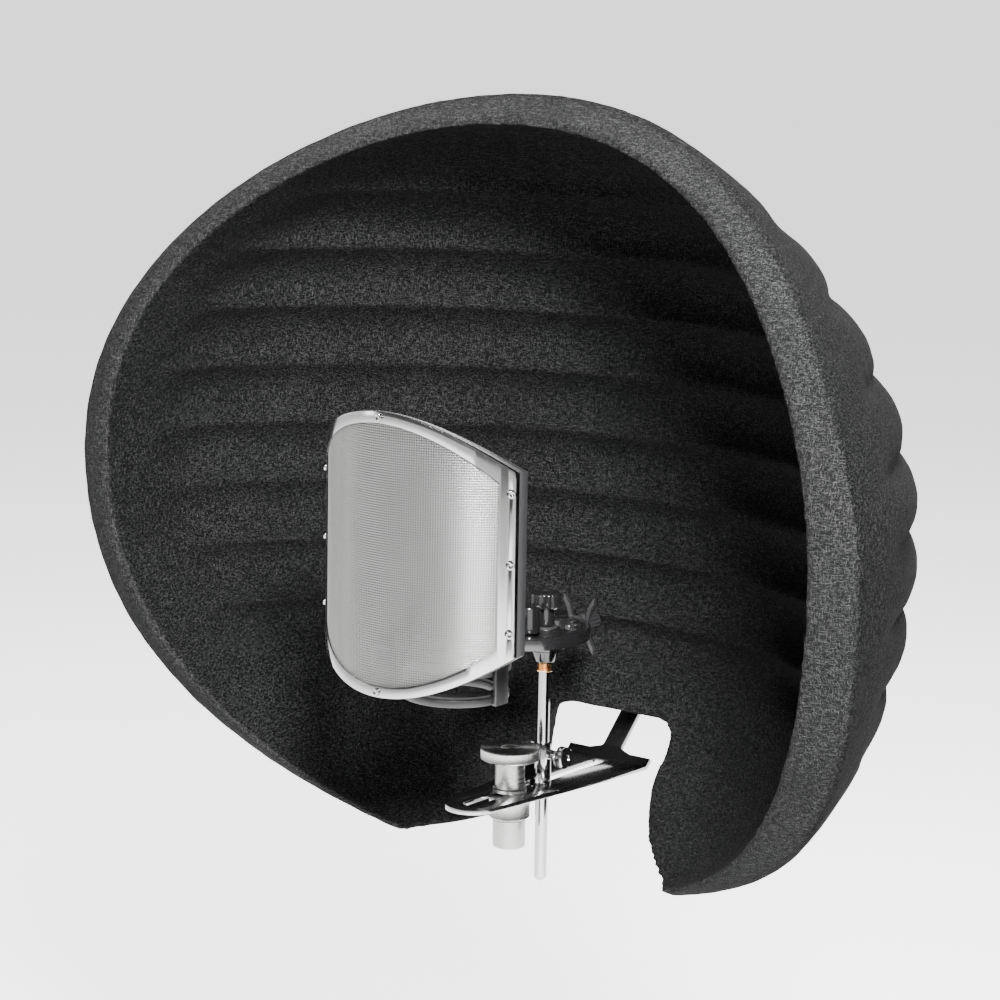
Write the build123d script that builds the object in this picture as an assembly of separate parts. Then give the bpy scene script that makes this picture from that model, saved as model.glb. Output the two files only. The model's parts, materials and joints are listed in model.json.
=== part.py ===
from build123d import *
from math import atan2, cos, degrees, radians, sin, sqrt
import os

# Reflection booth with a curved mesh pop filter on its bracket.
# Millimetres, +Z up. The origin is the mouth of the stand socket, the booth opens
# towards -Y, and everything is symmetric about the plane X = 0 apart from the screws' knobs.

# --- felt bowl: one ellipse per height, all driven by these values ---
BOWL_Z = 225.0            # height of the widest section
RIM_FRONT_Y = -88.0       # foremost point of the rim
RIM_FRONT_Z = 255.0       # height of that point
RIM_TOP = (184.0, 69.0, 2.2)      # span, setback and power of the rim's upper half
RIM_BOTTOM = (290.0, 130.0, 2.4)  # the same for its lower half
RIM_BEVEL = 9.0           # the outer skin's edge is set back from the inner one's
SKIN = 5.0                # felt thickness
LOBE_BOTTOM = (-22.0, -24.0)      # lowest level of the inner and outer skins
BOWL_LEVELS = (30.0, 90.0, 160.0, 240.0, 310.0, 365.0)  # sections that the bowl is lofted through
CROWN_STEPS = (50.0, 20.0, 4.0)   # and those below its crown
# inner dome: widest at the rim; its back wall runs from BACK_Y at the crown to
# BACK_Y + BACK_DEPTH at its deepest
INNER_HALF = 264.0
INNER_LEAD = 8.0          # its widest line lies this far in front of the rim's edge
BACK_Y, BACK_DEPTH = 5.0, 136.0
INNER_UP, INNER_DOWN = (226.0, 2.05), (256.0, 2.1)    # height from BOWL_Z, power
# outer dome: the same about one centre line
OUTER_HALF = 294.0
OUTER_Y, OUTER_DEPTH = -95.0, 294.0
OUTER_UP, OUTER_DOWN = (272.0, 1.8), (285.0, 2.17)

# --- notch for the bracket, in plan ---
NOTCH_FRONT_X = 78.0
NOTCH_REAR_X = 46.0
NOTCH_REAR_Y = 95.0
NOTCH_TOP_Z = 66.0
NOTCH_BACK_X, NOTCH_BACK_Y = 70.0, 150.0  # it widens again towards the back

# --- bracket ---
PLATE_TOP = 36.0
PLATE_T = 3.0
PLATE_NOSE_R = 17.0
PLATE_FRONT_Y = -55.0
CREASE_Y = 105.0
CREASE_HALF = 32.0
SLOT_W = 10.6
SLOT_Y = (-44.0, 99.0)
STRUT_LEAN = 45.0         # degrees that the bracket's rear strut leans back
STRUT_L = 62.0
STRUT_HALF = 7.0          # half width of the strut between its two windows
TAB_LEAN = 22.0           # the tab above it lies along the outer skin
TAB_L, TAB_HALF = 30.0, 30.0
SHELL_SCREW_R = 2.5
TAB_SCREWS = ((-20.0, 12.0), (0.0, 20.0), (20.0, 12.0))   # across and along the tab

# --- post on the stand ---
SOCKET_R, SOCKET_H = 10.3, 19.0
THREAD_R, THREAD_L = 7.4, 16.0
FLANGE_R, FLANGE_TOP = 12.8, 32.3
STUD_R, STUD_TOP = 5.0, 58.0
FIT = 0.05                # radial running fit of every pivot
GAP = 0.3                 # gap between parts that only pass each other
KNOB_R, KNOB_Z = 18.8, (56.5, 64.0)
NECK_R = 9.4
WASHER_R = 10.6

# --- rod and its clamp ---
ROD_Y = 34.0
ROD_R = 4.0
ROD_Z = (-31.0, 107.0)
SPIGOT_R, SPIGOT_TOP = 3.2, 117.5
SLEEVE_R = 5.6
SLEEVE_Z = (36.3, 60.0)
THUMB_Z = 53.0
THUMB_HEAD_R = 6.9

# --- microphone mount ---
SWIVEL_TOP = 121.0
MOUNT_STUD_R, REAR_STUD_R = 4.0, 2.0
MIC_Y = -57.0
HOOP_Z = (127.0, 135.0)
HOOP_MID = sum(HOOP_Z) / 2
HOOP_CENTRE_Y = 33.0
HOOP_SEMI = (25.0, 36.0)
HOOP_WALL = 6.0
CLASP_R = (30.0, 34.0)
CLASP_Z = (126.0, 138.0)
GATE_HALF_DEG = 50.0
SEAT_R = (24.0, 33.0)
SEAT_Z = (108.0, 113.0)
LYRE_T = 2.4

# --- pop filter ---
SCREEN_R = 85.0           # radius of the curved mesh
SCREEN_Y = -130.5         # its foremost line
SCREEN_HALF = 72.0
SIDE_Z = (149.0, 258.0)   # ends of its straight sides
CREST_Z = (121.0, 290.5)  # lowest and highest points of its arched edges
BAND_W = 6.5
TILT = (-120.5, 145.0)    # y and z of the filter's tilt axis
# radii of each layer, from the back to the front
REAR_FRAME = (SCREEN_R - 3.6, SCREEN_R - 1.6)
REAR_MESH = (SCREEN_R - 1.6, SCREEN_R - 1.2)
GASKET = (SCREEN_R - 1.2, SCREEN_R)
FRONT_MESH = (SCREEN_R, SCREEN_R + 0.4)
FRONT_BAND = (SCREEN_R + 0.4, SCREEN_R + 1.6)
FILTER_SCREW_Z = (163.0, 204.0, 246.0)

parts = {}


# swivel, stud and knob of the mount
SWIVEL_R, SWIVEL_H = (7.0, 9.6), 7.6
HUB_R, SPOKE_HALF, SPOKE_LAP = 10.0, 4.0, 3.0
MOUNT_STUD_TOP = 155.0
BARREL_R, BARREL_Y, BARREL_TOP = 7.4, 16.5, 152.0
MOUNT_WASHER_R, MOUNT_WASHER_T = 8.0, 1.2
KNOB_STEM_R, KNOB_GRIP_R, KNOB_GRIP_Z = 6.0, 9.8, (148.0, 158.0)

# rear lyre: a middle block between two arcs that stand back to back
REAR_GAP, REAR_T = 0.3, 3.0
REAR_BLOCK_HALF = (6.0, 5.0)
REAR_ARC_X, REAR_ARC_R, REAR_ARC_KEEP = 33.0, 28.0, (12.0, 21.0)
REAR_KNOB_R, REAR_KNOB_L = 6.2, 15.0

# clasp hinge, and the lyre springs of the cradle
GATE_PIN_R, KNUCKLE_R, KNUCKLE_H = 1.25, 3.2, 3.0
GATE_EYE_R, GATE_GAP = 3.0, 0.3
PAD_T, PAD_DEG = 1.6, (75, 285)
SIDE_LYRE_R, SIDE_FOOT_R, SIDE_LYRE_DEG = (34.0, 36.4), (32.5, 35.0), (80, 100)
FRONT_BOW_R, FRONT_BOW_DEG, FRONT_FOOT_HALF = 9.0, (35, 145), 7.0

# filter: screws, strap and tilt hinge
SCREW_R, SCREW_HEAD_R, SCREW_HEAD_T, SCREW_DIMPLE_R = 1.25, 2.4, 1.6, 1.0
NUT_R, NUT_T = 2.5, 2.0
STRAP_R, STRAP_DEG, STRAP_RISE = (31.0, 37.0), 110, (2.4, 4.9)
STRAP_POST_R, STRAP_POST = 3.0, (32.0, 3.0)
STRAP_HALF, HINGE_EYE_R, TILT_PIN_R = 6.0, 3.6, 1.5
LUG_HALF, LUG_T, EAR_X, EAR_R = 9.0, 1.5, (6.3, 9.0), 4.0
TILT_KNOB_R, TILT_KNOB_X = 5.2, (9.3, 15.5)


# ---------- helpers ----------

def rod_z(radius, z0, z1, x=0.0, y=0.0):
    return Pos(x, y, (z0 + z1) / 2) * Cylinder(radius, z1 - z0)


def rod_x(radius, x0, x1, y, z):
    return Pos((x0 + x1) / 2, y, z) * Rot(0, 90, 0) * Cylinder(radius, x1 - x0)


def rod_y(radius, y0, y1, x, z):
    return Pos(x, (y0 + y1) / 2, z) * Rot(90, 0, 0) * Cylinder(radius, y1 - y0)


def tube_z(outer, inner, z0, z1, x=0.0, y=0.0):
    return rod_z(outer, z0, z1, x, y) - rod_z(inner, z0 - 1, z1 + 1, x, y)


def block(x, y, z):
    """A box from three (low, high) pairs."""
    size = [b - a for a, b in (x, y, z)]
    middle = [(a + b) / 2 for a, b in (x, y, z)]
    return Pos(*middle) * Box(*size)


def mirrored(half):
    """The span from -half to half."""
    return -half, half


def prism(face, z0, z1):
    """A flat outline raised from one height to another."""
    return Pos(0, 0, z0) * extrude(face, z1 - z0, dir=(0, 0, 1))


def wedge_z(x, y, start_deg, end_deg, radius, z0, z1):
    """A pie slice about a vertical line, angles counted from -Y towards +X."""
    count = max(2, int(abs(end_deg - start_deg) / 30) + 1)
    points = [(x, y)]
    for i in range(count + 1):
        angle = radians(start_deg + (end_deg - start_deg) * i / count)
        points.append((x + radius * sin(angle), y - radius * cos(angle)))
    return prism(Polygon(*points, align=None), z0, z1)


def arc_strip(centre, radii, start_deg, end_deg, z0, z1):
    """A slice of an upright ring."""
    ring = tube_z(radii[1], radii[0], z0, z1, *centre)
    return ring & wedge_z(*centre, start_deg, end_deg, radii[1] * 1.6, z0 - 1, z1 + 1)


# ---------- felt bowl ----------

def rim_y(z):
    """Where the rim's edge lies at a height."""
    span, setback, power = RIM_TOP if z > RIM_FRONT_Z else RIM_BOTTOM
    return RIM_FRONT_Y + setback * (abs(z - RIM_FRONT_Z) / span) ** power


def dome_share(z, up, down, grow):
    """Share of a dome's full width at a height, for a dome grown by a wall."""
    reach, power = up if z > BOWL_Z else down
    return (1 - (abs(z - BOWL_Z) / (reach + grow)) ** power) ** (1 / power)


def inner_section(z, grow):
    """Centre, half width and depth of the inner dome at a height."""
    share = dome_share(z, INNER_UP, INNER_DOWN, grow)
    back = BACK_Y + (BACK_DEPTH + grow) * share
    centre = rim_y(z) - INNER_LEAD
    return centre, (INNER_HALF + grow) * share, back - centre


def outer_section(z, grow):
    """The same for the outer dome."""
    share = dome_share(z, OUTER_UP, OUTER_DOWN, grow)
    return OUTER_Y, (OUTER_HALF + grow) * share, (OUTER_DEPTH + grow) * share


def dome(section, low, top, grow):
    """The closed dome that a felt skin follows."""
    levels = (low, *BOWL_LEVELS, *[top - step for step in CROWN_STEPS])
    sections = []
    for z in levels:
        centre, half, deep = section(z, grow)
        sections.append(Pos(0, centre, z) * Ellipse(half, deep))
    return loft(sections)


def behind_rim(setback):
    """Everything behind the rim's curved front, moved back by setback."""
    heights = range(-60, 521, 40)
    edge = Spline(*[(rim_y(z) + setback, z) for z in heights])
    y0, z0 = rim_y(-60) + setback, -60
    y1, z1 = rim_y(500) + setback, 500
    outline = edge + Polyline((y1, z1), (400, z1), (400, z0), (y0, z0))
    face = Plane.YZ * make_face(outline)
    return extrude(face, 400, both=True)


def notch(grow):
    """The gap in the bowl's bottom that the bracket reaches through."""
    front, rear = NOTCH_FRONT_X + grow, NOTCH_REAR_X + grow
    back = NOTCH_BACK_X + grow
    plan = Polygon((-front, -90), (-front, 20), (-rear, NOTCH_REAR_Y), (-back, NOTCH_BACK_Y),
                   (-back, 260), (back, 260), (back, NOTCH_BACK_Y), (rear, NOTCH_REAR_Y),
                   (front, 20), (front, -90), align=None)
    return prism(plan, -80, NOTCH_TOP_Z + grow)


def make_bowl():
    inner_low, outer_low = LOBE_BOTTOM
    inner_top, outer_top = BOWL_Z + INNER_UP[0], BOWL_Z + OUTER_UP[0]
    inner_in = dome(inner_section, inner_low, inner_top, 0.0)
    inner_out = dome(inner_section, inner_low, inner_top + SKIN, SKIN)
    outer_in = dome(outer_section, outer_low, outer_top - SKIN, -SKIN)
    outer_out = dome(outer_section, outer_low, outer_top, 0.0)
    opening = notch(0.0)
    parts["inner_shell"] = ((inner_out & behind_rim(0.0)) - inner_in) - opening
    parts["outer_shell"] = ((outer_out & behind_rim(RIM_BEVEL)) - outer_in) - opening - inner_out
    hollow = outer_in - inner_out
    band_y = RIM_BEVEL / 2
    further = behind_rim(band_y + SKIN)
    parts["rim_band"] = ((hollow & behind_rim(band_y)) - further) - opening
    lining = notch(SKIN) - opening
    parts["notch_lining"] = ((outer_in & lining) - inner_out) & further


# ---------- bracket ----------

def leaning_plane(y, z, lean_deg):
    """A sheet's mid-plane: local Y runs up it, local -Z points to the back of the booth."""
    lean = radians(lean_deg)
    return Plane(origin=(0, y, z), x_dir=(1, 0, 0), z_dir=(0, -cos(lean), sin(lean)))


def strut_plane():
    return leaning_plane(CREASE_Y, PLATE_TOP - PLATE_T / 2, STRUT_LEAN)


def tab_plane():
    reach = radians(STRUT_LEAN)
    return leaning_plane(CREASE_Y + STRUT_L * sin(reach),
                         PLATE_TOP - PLATE_T / 2 + STRUT_L * cos(reach), TAB_LEAN)


def through_tab(radius, place, depth0, depth1):
    """A round pin square to the tab, between two depths behind its mid-plane."""
    pin = Cylinder(radius, depth1 - depth0)
    return tab_plane() * (Pos(*place, -(depth0 + depth1) / 2) * pin)


def bracket_sheet(plane, outline):
    return extrude(plane * outline, PLATE_T / 2, both=True)


def make_bracket():
    nose_y = PLATE_FRONT_Y + PLATE_NOSE_R
    flat = Pos(0, nose_y) * Circle(PLATE_NOSE_R)
    flat += Polygon((-PLATE_NOSE_R, nose_y), (-CREASE_HALF, CREASE_Y), (CREASE_HALF, CREASE_Y),
                    (PLATE_NOSE_R, nose_y), align=None)
    slot_l = SLOT_Y[1] - SLOT_Y[0]
    slot_mid = (SLOT_Y[0] + SLOT_Y[1]) / 2
    flat -= Pos(0, slot_mid) * Rot(0, 0, 90) * SlotOverall(slot_l, SLOT_W)
    plate = prism(flat, PLATE_TOP - PLATE_T, PLATE_TOP)

    strut = Polygon((-CREASE_HALF, 0), (-CREASE_HALF + 2, STRUT_L), (CREASE_HALF - 2, STRUT_L),
                    (CREASE_HALF, 0), align=None)
    for side in (-1, 1):
        inner, outer = side * STRUT_HALF, side * (CREASE_HALF + 5)
        window = Polygon((inner, 9), (inner, STRUT_L - 10), (outer, STRUT_L - 10), (outer, 6),
                         (side * (STRUT_HALF + 9), 6), align=None)
        strut -= fillet(window.vertices(), 2.8)
    tab = Polygon((-TAB_HALF, 0), (-TAB_HALF, TAB_L), (TAB_HALF, TAB_L), (TAB_HALF, 0), align=None)
    tab = fillet([v for v in tab.vertices() if v.Y > 1], 8.0)
    for place in TAB_SCREWS:
        tab -= Pos(*place) * Circle(SHELL_SCREW_R + 0.1)
    plate += bracket_sheet(strut_plane(), strut)
    parts["bracket_plate"] = plate + bracket_sheet(tab_plane(), tab)
    parts["notch_lining"] -= parts["bracket_plate"]

    half_t, spacer, head = PLATE_T / 2, 7.6, 18.0
    screws, spacers, nuts = [], [], []
    for place in TAB_SCREWS:
        shank = through_tab(SHELL_SCREW_R, place, -half_t - 3.2, head)
        screws.append(shank + through_tab(4.8, place, head, head + 2.6))
        spacers.append(through_tab(7.0, place, half_t, spacer) - through_tab(2.6, place, 0, 20))
        nuts.append(through_tab(4.6, place, -half_t - 2.8, -half_t) - through_tab(2.5, place, -9, 9))
        parts["outer_shell"] -= through_tab(SHELL_SCREW_R + 0.1, place, 0.0, 25.0)
    parts["shell_screws"] = Compound(screws)
    parts["shell_spacers"] = Compound(spacers)
    parts["shell_nuts"] = Compound(nuts)


# ---------- post ----------

def make_post():
    body = rod_z(SOCKET_R, 0, SOCKET_H) + rod_z(FLANGE_R, SOCKET_H, FLANGE_TOP)
    body = chamfer(body.edges().filter_by(GeomType.CIRCLE).group_by(Axis.Z)[0], 0.8)
    body -= rod_z(THREAD_R, -1, THREAD_L)
    body -= rod_z(STUD_R, SOCKET_H + 1, FLANGE_TOP + 1)
    parts["stand_socket"] = body
    parts["post_stud"] = rod_z(STUD_R, SOCKET_H + 1, STUD_TOP)
    bore = STUD_R + FIT
    parts["slot_washer"] = tube_z(FLANGE_R - 0.3, bore, FLANGE_TOP + 0.05, PLATE_TOP - PLATE_T - 0.05)
    parts["shoulder_washer"] = tube_z(WASHER_R, bore, PLATE_TOP + 0.05, PLATE_TOP + 1.9)
    knob = rod_z(NECK_R, PLATE_TOP + 2.0, KNOB_Z[0]) + rod_z(KNOB_R, *KNOB_Z)
    knob = chamfer(knob.edges().filter_by(GeomType.CIRCLE).group_by(Axis.Z)[-1], 0.5)
    parts["lock_knob"] = knob - rod_z(bore, PLATE_TOP, STUD_TOP + 1)


# ---------- rod clamp and rod ----------

def make_rod():
    bore = ROD_R + FIT
    sleeve = rod_z(SLEEVE_R, *SLEEVE_Z, 0, ROD_Y)
    sleeve += rod_z(SLOT_W / 2 - GAP, 30.0, SLEEVE_Z[0], 0, ROD_Y)
    sleeve += rod_x(3.4, SLEEVE_R - 1, SLEEVE_R + 3, ROD_Y, THUMB_Z)
    sleeve += block((-SLEEVE_R - 2.5, -SLEEVE_R + 1), (ROD_Y - 1.5, ROD_Y + 1.5), (56.0, 60.0))
    sleeve -= rod_z(bore, 29, 62, 0, ROD_Y)
    sleeve -= rod_x(2.0 + FIT, 0, 12, ROD_Y, THUMB_Z)
    parts["clamp_sleeve"] = sleeve
    parts["clamp_nut"] = tube_z(7.5, SLOT_W / 2 - GAP, 30.0, PLATE_TOP - PLATE_T - GAP, 0, ROD_Y)
    screw = rod_x(2.0, ROD_R + GAP, 14.0, ROD_Y, THUMB_Z)
    screw += rod_x(THUMB_HEAD_R, 13.0, 19.0, ROD_Y, THUMB_Z)
    parts["rod_thumb_screw"] = screw

    rod = rod_z(ROD_R, *ROD_Z, 0, ROD_Y)
    rod = fillet(rod.edges().filter_by(GeomType.CIRCLE).group_by(Axis.Z)[0], ROD_R - 0.1)
    parts["support_rod"] = rod + rod_z(SPIGOT_R, ROD_Z[1], SPIGOT_TOP, 0, ROD_Y)
    adapter = rod_z(5.3, ROD_Z[1], ROD_Z[1] + 1.2, 0, ROD_Y)
    adapter += rod_z(4.7, ROD_Z[1] + 1.2, ROD_Z[1] + 6.0, 0, ROD_Y)
    parts["brass_adapter"] = adapter - rod_z(SPIGOT_R, ROD_Z[1] - 1, 120, 0, ROD_Y)


# ---------- microphone mount ----------

def hoop_face(inset):
    return Pos(0, HOOP_CENTRE_Y) * Ellipse(HOOP_SEMI[0] - inset, HOOP_SEMI[1] - inset)


def make_mount():
    cone = Pos(0, ROD_Y, SWIVEL_TOP - SWIVEL_H / 2) * Cone(*SWIVEL_R, SWIVEL_H)
    parts["swivel_base"] = cone - rod_z(SPIGOT_R + FIT, SWIVEL_TOP - 9, SPIGOT_TOP + 0.4, 0, ROD_Y)

    z0, z1 = HOOP_Z
    half_x, half_y = HOOP_SEMI
    hub = rod_z(HUB_R, SWIVEL_TOP + 0.1, z1, 0, ROD_Y)
    hub += block(mirrored(half_x - SPOKE_LAP), (ROD_Y - SPOKE_HALF, ROD_Y + SPOKE_HALF), (z0, z1))
    hub += block(mirrored(SPOKE_HALF), (HOOP_CENTRE_Y - half_y + SPOKE_LAP, ROD_Y), (z0, z1 - 1))
    hoop = prism(hoop_face(0) - hoop_face(HOOP_WALL), z0, z1) + hub
    hoop -= rod_z(MOUNT_STUD_R, z0 - 10, z1 + 1, 0, ROD_Y)
    hoop -= rod_y(REAR_STUD_R + FIT, 50, 90, 0, HOOP_MID)
    parts["loop_arm"] = hoop
    parts["mount_stud"] = rod_z(MOUNT_STUD_R, SWIVEL_TOP, MOUNT_STUD_TOP, 0, ROD_Y)
    barrel = rod_z(BARREL_R, z1 + 0.2, BARREL_TOP, 0, BARREL_Y)
    parts["spring_housing"] = fillet(barrel.edges().group_by(Axis.Z)[-1], 1.2)
    washer_z = z1 + 0.1
    parts["mount_washer"] = tube_z(MOUNT_WASHER_R, MOUNT_STUD_R + FIT, washer_z, washer_z + MOUNT_WASHER_T, 0, ROD_Y)

    grip_z, top = KNOB_GRIP_Z
    knob = rod_z(KNOB_STEM_R, z1 + 1.5, grip_z, 0, ROD_Y) + rod_z(KNOB_GRIP_R, grip_z, top, 0, ROD_Y)
    knob = fillet(knob.edges().filter_by(GeomType.CIRCLE).group_by(Axis.Z)[-1], 1.0)
    parts["mount_knob"] = knob - rod_z(MOUNT_STUD_R + FIT, SWIVEL_TOP - 1, MOUNT_STUD_TOP + 0.5, 0, ROD_Y)


def make_rear_lyre():
    """The hourglass spring behind the loop and the small knob that loads it."""
    y0 = HOOP_CENTRE_Y + HOOP_SEMI[1] + REAR_GAP
    y1 = y0 + REAR_T
    middle = HOOP_MID
    block_x, block_z = REAR_BLOCK_HALF
    keep_x, keep_z = REAR_ARC_KEEP
    lyre = block(mirrored(block_x), (y0, y1), (middle - block_z, middle + block_z))
    for side in (-1, 1):
        x = side * REAR_ARC_X
        ring = rod_y(REAR_ARC_R, y0, y1, x, middle)
        ring -= rod_y(REAR_ARC_R - LYRE_T, y0 - 1, y1 + 1, x, middle)
        lyre += ring & block(sorted((0.0, side * keep_x)), (y0, y1), (middle - keep_z, middle + keep_z))
    parts["rear_lyre"] = lyre - rod_y(REAR_STUD_R + FIT, y0 - 1, y1 + 1, 0, middle)
    knob = rod_y(REAR_STUD_R, y0 - 12, y1 + 5, 0, middle)
    knob += rod_y(REAR_KNOB_R, y1 + 0.2, y1 + REAR_KNOB_L, 0, middle)
    parts["rear_knob"] = knob


def make_clasp():
    """Clasp ring with its pad, and the gate that swings on a pin."""
    centre = (0.0, MIC_Y)
    low, high = CLASP_Z
    hinge = radians(GATE_HALF_DEG + 2.5)
    mean = sum(CLASP_R) / 2
    pin = (-mean * sin(hinge), MIC_Y - mean * cos(hinge))

    clasp = arc_strip(centre, CLASP_R, GATE_HALF_DEG + 1, 360 - GATE_HALF_DEG - 6, low, high)
    clasp -= rod_z(KNUCKLE_R + 0.2, low + KNUCKLE_H, high - KNUCKLE_H, *pin)
    for z0, z1 in ((low, low + KNUCKLE_H), (high - KNUCKLE_H, high)):
        clasp += rod_z(KNUCKLE_R, z0, z1, *pin)
    clasp -= rod_z(GATE_PIN_R, low - 1, high + 1, *pin)
    parts["clasp_ring"] = clasp
    parts["gate_pin"] = rod_z(GATE_PIN_R, low, high, *pin)

    gate_z = (low + KNUCKLE_H + GATE_GAP, high - KNUCKLE_H - GATE_GAP)
    gate = arc_strip(centre, CLASP_R, -GATE_HALF_DEG + 2, GATE_HALF_DEG - 1, *gate_z)
    gate += rod_z(GATE_EYE_R, *gate_z, *pin)
    catch = radians(GATE_HALF_DEG - 6)
    tab_x, tab_y = CLASP_R[1] * sin(catch), MIC_Y - CLASP_R[1] * cos(catch)
    gate += block((tab_x - 2, tab_x + 5), (tab_y - 4, tab_y), gate_z)
    parts["clasp_gate"] = gate - rod_z(GATE_PIN_R + FIT, low, high, *pin)
    parts["clasp_pad"] = arc_strip(centre, (CLASP_R[0] - PAD_T, CLASP_R[0]), *PAD_DEG, low, high)


def make_cradle():
    """Seat ring, and the lyre springs that join it to the clasp and the loop."""
    centre = (0.0, MIC_Y)
    outer, inner = SEAT_R[1], SEAT_R[0]
    low, high = SEAT_Z
    parts["seat_ring"] = tube_z(outer, inner, low, high, *centre)
    parts["seat_pad"] = tube_z(outer - 1, inner + 1, high, high + 1.5, *centre)
    for side, name in ((-1, "left_lyre"), (1, "right_lyre")):
        lyre = arc_strip(centre, SIDE_LYRE_R, *SIDE_LYRE_DEG, low, CLASP_Z[1])
        lyre += arc_strip(centre, SIDE_FOOT_R, *SIDE_LYRE_DEG, low, high)
        lyre -= tube_z(outer, inner - 9, low - 1, high + 1, *centre)
        parts[name] = lyre if side > 0 else mirror(lyre, Plane.YZ)

    front_y = HOOP_CENTRE_Y - HOOP_SEMI[1]
    ring_y = MIC_Y + CLASP_R[1]
    bow_radii = (FRONT_BOW_R, FRONT_BOW_R + LYRE_T)
    bow = arc_strip((0.0, (front_y + ring_y) / 2), bow_radii, *FRONT_BOW_DEG, *HOOP_Z)
    feet_x = mirrored(FRONT_FOOT_HALF)
    feet = block(feet_x, (front_y - 2.6, front_y + 0.6), HOOP_Z)
    feet += block(feet_x, (ring_y + 0.3, ring_y + 3.0), HOOP_Z)
    bridge = mirror(bow, Plane.YZ) + bow + feet
    bridge -= tube_z(CLASP_R[1], inner - 9, CLASP_Z[0] - 6, CLASP_Z[1] + 2, *centre)
    parts["front_lyre"] = bridge - parts["loop_arm"]


# ---------- pop filter ----------

def screen_outline(inset):
    """Front view of the filter: straight sides and arched top and bottom."""
    half = SCREEN_HALF - inset
    low, high = SIDE_Z[0] + inset * 0.8, SIDE_Z[1] - inset * 0.8
    edges = Line((-half, low), (-half, high))
    edges += ThreePointArc((-half, high), (0, CREST_Z[1] - inset), (half, high))
    edges += Line((half, high), (half, low))
    edges += ThreePointArc((half, low), (0, CREST_Z[0] + inset), (-half, low))
    return make_face(edges)


def screen_layer(radii, outline):
    """A layer of the curved filter, cut to an outline seen from the front."""
    axis_y = SCREEN_Y + SCREEN_R
    wall = tube_z(radii[1], radii[0], CREST_Z[0] - 10, CREST_Z[1] + 10, 0, axis_y)
    front = extrude(Plane.XZ.offset(-axis_y) * outline, 140)
    return wall & front


def screw_places():
    """Angle from -Y and height of each screw around the filter's frame."""
    side = degrees(atan2(SCREEN_HALF - BAND_W / 2, sqrt(SCREEN_R ** 2 - (SCREEN_HALF - BAND_W / 2) ** 2)))
    places = [(sign * side, z) for sign in (-1, 1) for z in FILTER_SCREW_Z]
    return places + [(0.0, CREST_Z[0] + BAND_W / 2), (0.0, CREST_Z[1] - BAND_W / 2)]


def radial_pin(radius, place, r0, r1):
    """A round pin that points out of the curved screen, between two radii."""
    angle, z = place
    pin = Pos(0, -(r0 + r1) / 2, 0) * Rot(90, 0, 0) * Cylinder(radius, r1 - r0)
    return Pos(0, SCREEN_Y + SCREEN_R, z) * Rot(0, 0, angle) * pin


def make_filter():
    ring = screen_outline(0) - screen_outline(BAND_W)
    full = screen_outline(0.6)
    narrow = screen_outline(0.6) - screen_outline(BAND_W - 1)
    layers = {
        "filter_front_band": (FRONT_BAND, ring),
        "filter_front_mesh": (FRONT_MESH, full),
        "filter_gasket": (GASKET, narrow),
        "filter_rear_mesh": (REAR_MESH, full),
        "filter_rear_frame": (REAR_FRAME, ring),
    }
    for name, (radii, outline) in layers.items():
        layer = screen_layer(radii, outline)
        for place in screw_places():
            layer -= radial_pin(SCREW_R, place, SCREEN_R - 10, SCREEN_R + 10)
        parts[name] = layer
    outer, inner = FRONT_BAND[1], REAR_FRAME[0]
    screws, nuts = [], []
    for place in screw_places():
        screw = radial_pin(SCREW_R, place, inner - 2.4, outer)
        screw += radial_pin(SCREW_HEAD_R, place, outer, outer + SCREW_HEAD_T)
        screws.append(screw - radial_pin(SCREW_DIMPLE_R, place, outer + 0.6, outer + 3))
        nut = radial_pin(NUT_R, place, inner - 0.2 - NUT_T, inner - 0.2)
        nuts.append(nut - radial_pin(SCREW_R, place, inner - 3, inner + 1))
    parts["filter_screws"] = Compound(screws)
    parts["filter_nuts"] = Compound(nuts)


def make_filter_stalk():
    """Strap from the clasp ring to the tilt hinge, with the filter's own lug."""
    centre = (0.0, MIC_Y)
    y, z = TILT
    strap_z = (CLASP_Z[1] + STRAP_RISE[0], CLASP_Z[1] + STRAP_RISE[1])
    strap = arc_strip(centre, STRAP_R, -STRAP_DEG, STRAP_DEG, *strap_z)
    post_x, post_y = STRAP_POST
    for side in (-1, 1):
        strap += rod_z(STRAP_POST_R, CLASP_Z[1], strap_z[0] + 0.5, side * post_x, MIC_Y + post_y)
    strap += block(mirrored(STRAP_HALF), (y + 2.0, MIC_Y - STRAP_R[0] - 3.0), strap_z)
    strap += rod_x(HINGE_EYE_R, *mirrored(STRAP_HALF), y, z)
    parts["filter_stalk"] = strap - rod_x(TILT_PIN_R + 0.1, *mirrored(STRAP_HALF + 1), y, z)

    back_y = SCREEN_Y + (SCREEN_R - REAR_FRAME[0])
    foot_z = CREST_Z[0] + 6.2
    lug_back = back_y + 0.4 + LUG_T
    lug = block(mirrored(LUG_HALF), (back_y + 0.4, lug_back), (foot_z, z + EAR_R))
    for side in (-1, 1):
        ear_x = sorted(side * x for x in EAR_X)
        lug += block(ear_x, (back_y + 0.6, y), (z - EAR_R, z + EAR_R))
        lug += rod_x(EAR_R, *ear_x, y, z)
    lug += block(mirrored(LUG_HALF), (SCREEN_Y + 4.2, lug_back), (foot_z + 0.4, foot_z + 2.2))
    lug -= screen_tube_space()
    parts["filter_lug"] = lug - rod_x(TILT_PIN_R, *mirrored(LUG_HALF + 3), y, z)
    parts["tilt_pin"] = rod_x(TILT_PIN_R, -LUG_HALF, LUG_HALF + 4.0, y, z)
    knob = rod_x(TILT_KNOB_R, *TILT_KNOB_X, y, z)
    parts["tilt_knob"] = knob - rod_x(TILT_PIN_R + FIT, TILT_KNOB_X[0] - 0.3, LUG_HALF + 4.3, y, z)


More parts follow.
